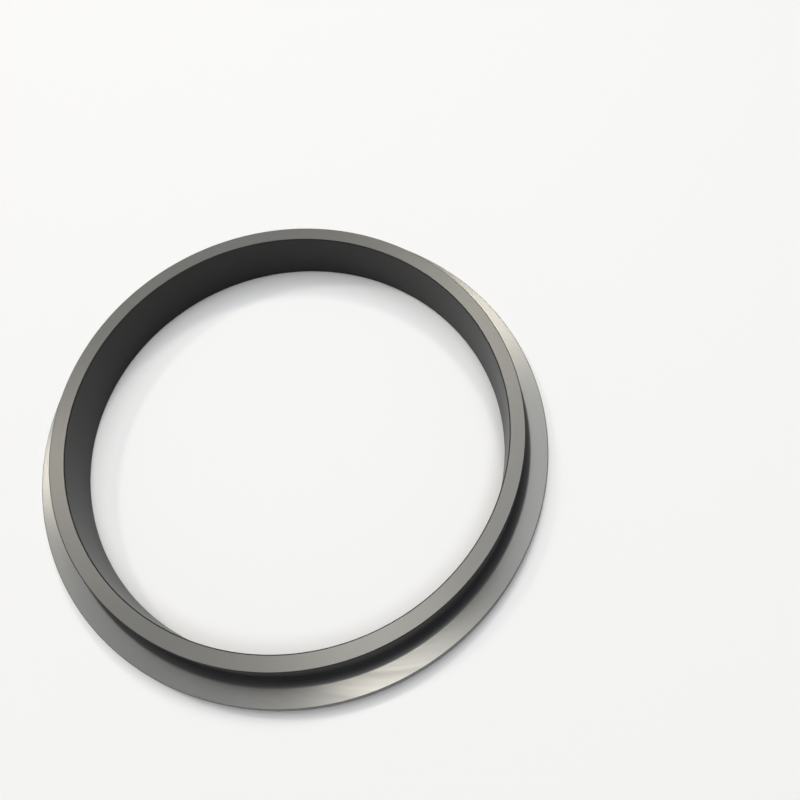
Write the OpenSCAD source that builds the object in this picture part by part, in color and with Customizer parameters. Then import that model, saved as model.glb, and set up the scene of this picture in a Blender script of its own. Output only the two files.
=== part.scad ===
// Mechanical seal face ring, turned, ground and lapped from one piece of silicon carbide.
// A thin-walled nose carries the lapped seal face on its end, and a wide, thin flange at the
// back takes the drive and the load. A soft fillet carries the nose's wall into the flange.
// The ring lies on its back face: the origin is the centre of that face, at the height of
// whatever the ring lies on, and +Z runs along the ring's axis towards the seal face.
// The section is built outwards from the bore, so every diameter follows the bore.

/* [Nose] */
// Diameter of the straight bore through the ring
bore_d = 168; // [60:0.5:400]
// Thickness of the nose's wall, from the bore to the ground guide diameter
nose_wall = 6; // [3:0.25:20]
// Height of the ring, from its back face to its seal face
ring_h = 24; // [14:0.5:80]

/* [Flange] */
// How far the flange stands out from the nose's wall, all round
flange_reach = 10.5; // [5:0.25:40]
// Thickness of the flange at its rim
flange_t = 7; // [2:0.25:18]
// Radius of the fillet between the nose's wall and the flange's shoulder
fillet_r = 4; // [0.5:0.25:9]

/* [Edge breaks] */
// Edge break on the bore side of the seal face
face_bore_break = 0.4; // [0.1:0.05:1]
// Edge break on the outer side of the seal face
face_outer_break = 0.4; // [0.1:0.05:1]
// Edge break where the bore meets the back face
back_bore_break = 0.5; // [0.1:0.05:1.5]
// Edge break where the rim meets the back face
back_rim_break = 0.5; // [0.1:0.05:1]
// Edge break where the rim meets the shoulder
shoulder_break = 0.4; // [0.1:0.05:0.9]

/* [Finish] */
// Number of segments around the ring in a preview
round_fn = 180; // [48:12:360]

/* [Hidden] */
$fn = round_fn;

// Radii and heights of the section, which is drawn in the half plane of the axis
bore_r = bore_d / 2;
nose_r = bore_r + nose_wall;
flange_r = nose_r + flange_reach;
face_z = ring_h;
shoulder_z = flange_t;

// The fillet ends on the shoulder before the rim's edge break, and on the nose's wall
// before the seal face's edge break
shoulder_w = flange_reach - shoulder_break;
wall_h = face_z - face_outer_break - shoulder_z;
blend_r = min(fillet_r, shoulder_w, wall_h);

// Overlap that lets cutting shapes pass clear through the section
cut = 1;

// A corner's edge break at 45 degrees. The corner lies at (x, z), and side_x and side_z,
// each 1 or -1, point from the corner into the section.
module edge_break(x, z, side_x, side_z, size) {
    polygon([
        [x - side_x * cut, z - side_z * cut],
        [x - side_x * cut, z + side_z * (size + cut)],
        [x + side_x * (size + cut), z - side_z * cut]
    ]);
}

// The metal left in the corner between the nose's wall and the shoulder
module corner_fillet() {
    difference() {
        translate([nose_r - cut, shoulder_z - cut])
            square([blend_r + cut, blend_r + cut]);
        translate([nose_r + blend_r, shoulder_z + blend_r])
            circle(r = blend_r);
    }
}

// The ring's L-shaped section, with its fillet and all its edge breaks
module ring_section() {
    difference() {
        union() {
            translate([bore_r, 0])
                square([nose_wall, face_z]);
            translate([bore_r, 0])
                square([nose_wall + flange_reach, shoulder_z]);
            corner_fillet();
        }
        edge_break(bore_r, face_z, 1, -1, face_bore_break);
        edge_break(nose_r, face_z, -1, -1, face_outer_break);
        edge_break(bore_r, 0, 1, 1, back_bore_break);
        edge_break(flange_r, 0, -1, 1, back_rim_break);
        edge_break(flange_r, shoulder_z, -1, -1, shoulder_break);
    }
}

// The ring itself: one turned body, so it is one revolved section
module seal_ring() {
    color([0.30, 0.30, 0.29])
        rotate_extrude()
            ring_section();
}

seal_ring();
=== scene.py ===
import math

import bpy
import bmesh
from mathutils import Matrix, Vector


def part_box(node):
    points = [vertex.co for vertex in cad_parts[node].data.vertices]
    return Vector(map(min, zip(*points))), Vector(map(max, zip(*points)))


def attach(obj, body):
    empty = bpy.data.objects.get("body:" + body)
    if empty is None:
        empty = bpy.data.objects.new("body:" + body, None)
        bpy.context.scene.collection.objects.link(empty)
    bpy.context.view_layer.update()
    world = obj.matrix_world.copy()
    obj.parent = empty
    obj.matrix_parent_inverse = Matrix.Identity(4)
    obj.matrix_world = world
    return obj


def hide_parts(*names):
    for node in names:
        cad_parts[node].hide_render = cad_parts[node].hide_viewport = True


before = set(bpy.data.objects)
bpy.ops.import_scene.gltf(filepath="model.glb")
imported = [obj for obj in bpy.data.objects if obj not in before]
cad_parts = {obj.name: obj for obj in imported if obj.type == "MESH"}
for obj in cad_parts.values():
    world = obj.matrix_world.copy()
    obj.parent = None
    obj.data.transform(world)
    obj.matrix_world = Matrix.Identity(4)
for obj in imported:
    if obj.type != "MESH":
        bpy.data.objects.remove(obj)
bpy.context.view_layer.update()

# The seal ring's body: one piece of silicon carbide, pressed and sintered, then ground on its
# diameters and flange and lapped on its face. Its section is drawn corner by corner round the
# axis, the inner corner is filleted, and every outer corner has its edge broken.
mm = 0.001
ring_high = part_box("seal_ring")[1]
flange_r = ring_high.x
face_z = ring_high.z
flange_reach = 10.5 * mm
nose_wall = 6.0 * mm
flange_t = 7.0 * mm
nose_r = flange_r - flange_reach
bore_r = nose_r - nose_wall
fillet_r = 4.0 * mm
face_break = 0.4 * mm
back_break = 0.5 * mm
steps_round = 480
fillet_steps = 14
section_corners = [
    (bore_r, face_z),
    (nose_r, face_z),
    (nose_r, flange_t),
    (flange_r, flange_t),
    (flange_r, 0.0),
    (bore_r, 0.0),
]
edge_breaks = [
    (bore_r, face_z, face_break),
    (nose_r, face_z, face_break),
    (flange_r, flange_t, face_break),
    (flange_r, 0.0, back_break),
    (bore_r, 0.0, back_break),
]

bpy.ops.object.select_all(action="DESELECT")
bpy.ops.mesh.primitive_circle_add(vertices=steps_round, radius=bore_r, fill_type="NOTHING")
ring = bpy.context.active_object
ring.name = "carbide_seal_ring"
bpy.ops.object.mode_set(mode="EDIT")
bpy.ops.mesh.select_mode(type="EDGE")
bpy.ops.mesh.select_all(action="SELECT")
last_r, last_z = bore_r, 0.0
for corner_r, corner_z in section_corners:
    bpy.ops.mesh.extrude_region_move(
        TRANSFORM_OT_translate={"value": (0.0, 0.0, corner_z - last_z)}
    )
    grow = corner_r / last_r
    bpy.ops.transform.resize(value=(grow, grow, 1.0), center_override=(0.0, 0.0, corner_z))
    last_r, last_z = corner_r, corner_z
bpy.ops.mesh.select_all(action="SELECT")
bpy.ops.mesh.remove_doubles(threshold=0.01 * mm)
bpy.ops.mesh.normals_make_consistent(inside=False)


def select_loop(radius, height):
    """Selects the edges that run round the ring at one corner of its section."""
    bpy.ops.mesh.select_all(action="DESELECT")
    near = 0.02 * mm
    mesh = bmesh.from_edit_mesh(ring.data)
    for edge in mesh.edges:
        edge.select = all(
            abs(math.hypot(v.co.x, v.co.y) - radius) < near and abs(v.co.z - height) < near
            for v in edge.verts
        )
    bmesh.update_edit_mesh(ring.data)


select_loop(nose_r, flange_t)
bpy.ops.mesh.bevel(offset=fillet_r, offset_type="OFFSET", segments=fillet_steps, profile=0.5)
for corner_r, corner_z, size in edge_breaks:
    select_loop(corner_r, corner_z)
    bpy.ops.mesh.bevel(offset=size, offset_type="OFFSET", segments=1)
bpy.ops.object.mode_set(mode="OBJECT")
bpy.ops.object.shade_smooth_by_angle(angle=math.radians(32))
ring.modifiers.new("flat_faces_stay_flat", "WEIGHTED_NORMAL").keep_sharp = True
bpy.ops.object.modifier_apply(modifier="flat_faces_stay_flat")

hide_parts("seal_ring")
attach(ring, "root")


# The grinding marks: a cup wheel leaves fine scratches that run round the ring, and longer sweeps
# that cross it aslant, strong only on the side where the wheel left it. The group puts out the
# scratches' height and the sweeps' light and dark, and both close up without a seam.
marks = bpy.data.node_groups.new("grinding_marks", "ShaderNodeTree")
for socket_name, start_value in [
    ("Marks per mm", 3.0),
    ("Marks round", 8.0),
    ("Sweeps round", 60.0),
    ("Sweep slant", 0.02),
]:
    socket = marks.interface.new_socket(socket_name, in_out="INPUT", socket_type="NodeSocketFloat")
    socket.default_value = start_value
marks.interface.new_socket("Height", in_out="OUTPUT", socket_type="NodeSocketFloat")
marks.interface.new_socket("Sweeps", in_out="OUTPUT", socket_type="NodeSocketFloat")
marks_in = marks.nodes.new("NodeGroupInput").outputs
marks_out = marks.nodes.new("NodeGroupOutput")


def feed(tree, socket, value):
    """Gives a socket its value: a number, or another node's socket."""
    if isinstance(value, (int, float)):
        socket.default_value = value
    else:
        tree.links.new(value, socket)


def math_node(tree, operation, *values):
    """A Math node in a node tree, fed with numbers or other nodes' sockets."""
    node = tree.nodes.new("ShaderNodeMath")
    node.operation = operation
    for socket, value in zip(node.inputs, values):
        feed(tree, socket, value)
    return node.outputs["Value"]


def map_range(tree, value, start, end, low=0.0, high=1.0, smooth=False):
    """A Map Range node: as the value goes from low to high, the result goes start to end."""
    node = tree.nodes.new("ShaderNodeMapRange")
    node.interpolation_type = "SMOOTHSTEP" if smooth else "LINEAR"
    feed(tree, node.inputs["Value"], value)
    feed(tree, node.inputs["From Min"], low)
    feed(tree, node.inputs["From Max"], high)
    feed(tree, node.inputs["To Min"], start)
    feed(tree, node.inputs["To Max"], end)
    return node.outputs["Result"]


def round_noise(tree, angle, around, along, detail):
    """Noise that runs round the ring without a seam: around is its closeness by the angle."""
    place = tree.nodes.new("ShaderNodeCombineXYZ")
    across = math_node(tree, "MULTIPLY", math_node(tree, "COSINE", angle), around)
    up = math_node(tree, "MULTIPLY", math_node(tree, "SINE", angle), around)
    for socket, value in zip(place.inputs, (across, up, along)):
        tree.links.new(value, socket)
    noise = tree.nodes.new("ShaderNodeTexNoise")
    noise.inputs["Scale"].default_value = 1.0
    noise.inputs["Detail"].default_value = detail
    noise.inputs["Roughness"].default_value = 0.6
    tree.links.new(place.outputs["Vector"], noise.inputs["Vector"])
    return noise.outputs["Fac"]


object_place = marks.nodes.new("ShaderNodeTexCoord").outputs["Object"]
split = marks.nodes.new("ShaderNodeSeparateXYZ")
marks.links.new(object_place, split.inputs["Vector"])
x, y, z = split.outputs
x_squared = math_node(marks, "MULTIPLY", x, x)
y_squared = math_node(marks, "MULTIPLY", y, y)
radius = math_node(marks, "SQRT", math_node(marks, "ADD", x_squared, y_squared))
section_mm = math_node(marks, "MULTIPLY", math_node(marks, "ADD", radius, z), 1.0 / mm)
angle = math_node(marks, "ARCTAN2", y, x)
slanted = math_node(
    marks, "ADD", angle, math_node(marks, "MULTIPLY", section_mm, marks_in["Sweep slant"])
)
scratches = round_noise(
    marks, angle, marks_in["Marks round"],
    math_node(marks, "MULTIPLY", section_mm, marks_in["Marks per mm"]), 3.0,
)
sweeps_per_mm = 0.02
sweeps = round_noise(
    marks, slanted, marks_in["Sweeps round"],
    math_node(marks, "MULTIPLY", section_mm, sweeps_per_mm), 0.0,
)
swept_side = math.radians(290.0)
toward_side = math_node(
    marks, "ADD",
    math_node(marks, "MULTIPLY", x, math.cos(swept_side)),
    math_node(marks, "MULTIPLY", y, math.sin(swept_side)),
)
plain_tone = 0.32
faint = 0.08
sweep_strength = map_range(
    marks, toward_side, faint, 1.0, low=76.0 * mm, high=92.0 * mm, smooth=True
)
swing = math_node(
    marks, "MULTIPLY", math_node(marks, "SUBTRACT", sweeps, plain_tone), sweep_strength
)
marks.links.new(scratches, marks_out.inputs["Height"])
marks.links.new(math_node(marks, "ADD", swing, plain_tone), marks_out.inputs["Sweeps"])


def carbide(name, dark, light, matt, anisotropy, ior, bump, per_mm, sweeps_round, slant):
    """One finish of the carbide: its tones, some of them painted shade, how matt it is, and the
    marks of its grinding.
    """
    material = bpy.data.materials.new(name)
    material.use_nodes = True
    tree = material.node_tree
    shader = tree.nodes["Principled BSDF"]
    group = tree.nodes.new("ShaderNodeGroup")
    group.node_tree = marks
    group.inputs["Marks per mm"].default_value = per_mm
    group.inputs["Sweeps round"].default_value = sweeps_round
    group.inputs["Sweep slant"].default_value = slant
    coords = tree.nodes.new("ShaderNodeTexCoord")
    cloud = tree.nodes.new("ShaderNodeTexNoise")
    cloud.inputs["Scale"].default_value = 60.0
    cloud.inputs["Detail"].default_value = 4.0
    tree.links.new(coords.outputs["Object"], cloud.inputs["Vector"])
    tone = math_node(tree, "ADD", group.outputs["Sweeps"], cloud.outputs["Fac"])
    ramp = tree.nodes.new("ShaderNodeValToRGB")
    ramp.color_ramp.elements[0].position = 0.7
    ramp.color_ramp.elements[0].color = (*dark, 1.0)
    ramp.color_ramp.elements[1].position = 1.0
    ramp.color_ramp.elements[1].color = (*light, 1.0)
    tree.links.new(math_node(tree, "MULTIPLY", tone, 0.85), ramp.inputs["Fac"])
    tree.links.new(ramp.outputs["Color"], shader.inputs["Base Color"])
    rough = map_range(tree, group.outputs["Sweeps"], *matt, low=0.3, high=0.7)
    tree.links.new(rough, shader.inputs["Roughness"])
    relief = tree.nodes.new("ShaderNodeBump")
    relief.inputs["Strength"].default_value = 1.0
    relief.inputs["Distance"].default_value = bump
    tree.links.new(group.outputs["Height"], relief.inputs["Height"])
    tree.links.new(relief.outputs["Normal"], shader.inputs["Normal"])
    shader.inputs["Anisotropic"].default_value = anisotropy
    shader.inputs["Anisotropic Rotation"].default_value = 0.25
    shader.inputs["IOR"].default_value = ior
    shader.inputs["Specular Tint"].default_value = (1.0, 0.985, 0.93, 1.0)
    ring.data.materials.append(material)
    return len(ring.data.materials) - 1


# The ring's finishes: one carbide with a satin lapped face and a brighter flange with sweeps
# across it. The wall, bore and edges take darker tones and weaker reflection than the flange,
# though they are the same carbide: painted shade. The fillet fades in three steps from the
# flange to the wall, by its slope, as painted shade and painted dark reflection. No finish
# is glossier than 0.28, because the picture turns grainy below that.
# wall_tones are darker than flat_tones to paint shade on the walls and the fillet.
flat_tones = (0.036, 0.036, 0.034), (0.048, 0.047, 0.044)
wall_tones = (0.024, 0.025, 0.027), (0.034, 0.035, 0.037)
lapped = carbide("lapped_face", (0.042, 0.042, 0.039), (0.056, 0.055, 0.051),
                 (0.36, 0.39), 0.5, 1.78, 0.001 * mm, 2.0, 3.0, 0.0)
ground = carbide("ground_flange", *flat_tones,
                 (0.28, 0.345), 0.88, 2.06, 0.0001 * mm, 2.5, 16.0, -0.03)
# Walls, bore and edges: darker tones and a lower IOR than the flange, as painted shade.
walls = carbide("ground_walls", *wall_tones,
                (0.45, 0.55), 0.6, 1.25, 0.002 * mm, 2.5, 3.0, 0.0)
bore = carbide("ground_bore", (0.014, 0.014, 0.015), (0.021, 0.021, 0.022),
               (0.28, 0.34), 0.6, 1.28, 0.002 * mm, 2.5, 3.0, 0.0)
edges = carbide("broken_edges", (0.020, 0.020, 0.020), (0.028, 0.028, 0.027),
                (0.40, 0.50), 0.2, 1.3, 0.001 * mm, 3.0, 3.0, 0.0)
back = carbide("ground_back", *flat_tones,
               (0.36, 0.44), 0.7, 2.0, 0.002 * mm, 2.0, 18.0, -0.03)
fillet_shade_steps = []
# The fillet steps all take the wall tones, and a lower IOR the steeper the step: painted shade and
# painted dark reflection.
for name, slope, ior in [
    ("fillet_foot", 0.975, 1.70),
    ("fillet_low", 0.90, 1.50),
    ("fillet_middle", 0.80, 1.36),
]:
    finish = carbide(name, *wall_tones,
                     (0.40, 0.48), 0.6, ior, 0.001 * mm, 2.5, 3.0, 0.0)
    fillet_shade_steps.append((slope, finish))

flat = 0.99
upright = 0.05
fillet_end = 0.995
for face in ring.data.polygons:
    out = math.hypot(face.center.x, face.center.y)
    up = face.normal.z
    on_fillet = nose_r < out < nose_r + fillet_r and face.center.z > flange_t
    if up < -flat:
        face.material_index = back
    elif on_fillet and up > fillet_end:
        face.material_index = ground
    # On the fillet, the slope picks the painted-shade step.
    elif on_fillet:
        face.material_index = next(
            (finish for slope, finish in fillet_shade_steps if up > slope), walls
        )
    elif up > flat and face.center.z > flange_t + fillet_r:
        face.material_index = lapped
    elif up > flat:
        face.material_index = ground
    elif out > flange_r - mm and up > -upright:
        face.material_index = ground
    # Upright faces and edge breaks take the darker tones that paint their shade.
    elif abs(up) < upright and out > nose_r - 0.1 * mm:
        face.material_index = walls
    elif abs(up) < upright:
        face.material_index = bore
    else:
        face.material_index = edges

# The camera looks down on the seal face from above the ring's near side, with the ring to the
# left of the middle of the picture.
camera_at = Vector((43.65, -117.79, 287.92)) * mm
camera_tilt = math.radians(24.80)
camera_roll = math.radians(-5.93)
view = bpy.data.cameras.new("photo_view")
view.sensor_width = 36.0
view.lens = 34.38
camera = bpy.data.objects.new("photo_view", view)
camera.matrix_world = (
    Matrix.Translation(camera_at)
    @ Matrix.Rotation(camera_tilt, 4, "X")
    @ Matrix.Rotation(camera_roll, 4, "Z")
)
bpy.context.scene.collection.objects.link(camera)
bpy.context.scene.camera = camera

# The floor: a plain pale sheet that the ring lies on. It looks nearly white, and throws less
# light back at the ring than it shows, so that the ring's walls stay dark.
bpy.ops.object.select_all(action="DESELECT")
bpy.ops.mesh.primitive_circle_add(vertices=96, radius=1.4, fill_type="NGON")
floor = bpy.context.active_object
floor.name = "floor"
floor.location.z = -0.02 * mm


def seen_or_mirrored(tree):
    """1 where a surface shows, straight or mirrored, and 0 where it only lights another."""
    path = tree.nodes.new("ShaderNodeLightPath").outputs
    mirrored = math_node(tree, "MAXIMUM", path["Is Glossy Ray"], path["Is Transmission Ray"])
    return math_node(tree, "MAXIMUM", path["Is Camera Ray"], mirrored)


paper = bpy.data.materials.new("pale_floor")
paper.use_nodes = True
paper_tree = paper.node_tree
paper_shader = paper_tree.nodes["Principled BSDF"]
paper_shader.inputs["Roughness"].default_value = 0.9
paper_shader.inputs["Specular IOR Level"].default_value = 0.0
thrown_tone = 0.40
shown_tone = 0.90
paper_tone = map_range(paper_tree, seen_or_mirrored(paper_tree), thrown_tone, shown_tone)
paper_tree.links.new(paper_tone, paper_shader.inputs["Base Color"])
floor.data.materials.append(paper)

# The studio's light: a dim even sky with a pale wall that shows round its horizon, and
# softboxes whose reflections run round the ring. The wide ones light the floor and the satin
# face, and the three small ones draw the highlights.
sky = bpy.data.worlds.new("studio_sky")
bpy.context.scene.world = sky
sky.use_nodes = True
sky_tree = sky.node_tree
sky_shader = sky_tree.nodes["Background"]
sky_shader.inputs["Color"].default_value = (0.98, 0.99, 1.0, 1.0)
sky_way = sky_tree.nodes.new("ShaderNodeTexCoord").outputs["Generated"]
sky_split = sky_tree.nodes.new("ShaderNodeSeparateXYZ")
sky_tree.links.new(sky_way, sky_split.inputs["Vector"])
sky_level = 0.10
wall_level = 0.92
wall_and_sky = map_range(
    sky_tree, sky_split.outputs["Z"], wall_level, sky_level, low=0.30, high=0.60, smooth=True
)
sky_strength = map_range(sky_tree, seen_or_mirrored(sky_tree), sky_level, wall_and_sky)
sky_tree.links.new(sky_strength, sky_shader.inputs["Strength"])
lamp_distance = 2.4


def softbox(name, azimuth, elevation, size, power, colour):
    """A round softbox that looks at the ring's centre from one side."""
    lamp = bpy.data.lights.new(name, "AREA")
    lamp.shape = "DISK"
    lamp.size = size
    lamp.energy = power
    lamp.color = colour
    lamp_object = bpy.data.objects.new(name, lamp)
    a = math.radians(azimuth)
    e = math.radians(elevation)
    toward = Vector((math.cos(a) * math.cos(e), math.sin(a) * math.cos(e), math.sin(e)))
    lamp_object.matrix_world = (
        Matrix.Translation(toward * lamp_distance)
        @ toward.to_track_quat("Z", "Y").to_matrix().to_4x4()
    )
    bpy.context.scene.collection.objects.link(lamp_object)


cream = (1.0, 0.94, 0.82)
daylight = (0.93, 0.955, 1.0)
softbox("near_wide", 290.0, 75.0, 1.0, 17.0, daylight)
softbox("far_wide", 110.0, 70.0, 1.0, 14.0, daylight)
softbox("right_wide", 55.0, 68.0, 1.0, 6.5, daylight)
softbox("left_wide", 150.0, 58.0, 1.0, 1.8, daylight)
softbox("overhead", 119.0, 84.0, 0.3, 8.0, cream)
softbox("far_left", 143.0, 56.0, 0.2, 6.5, cream)
softbox("far_right", 76.0, 59.0, 0.3, 8.0, cream)

bpy.context.scene.view_settings.view_transform = "Standard"
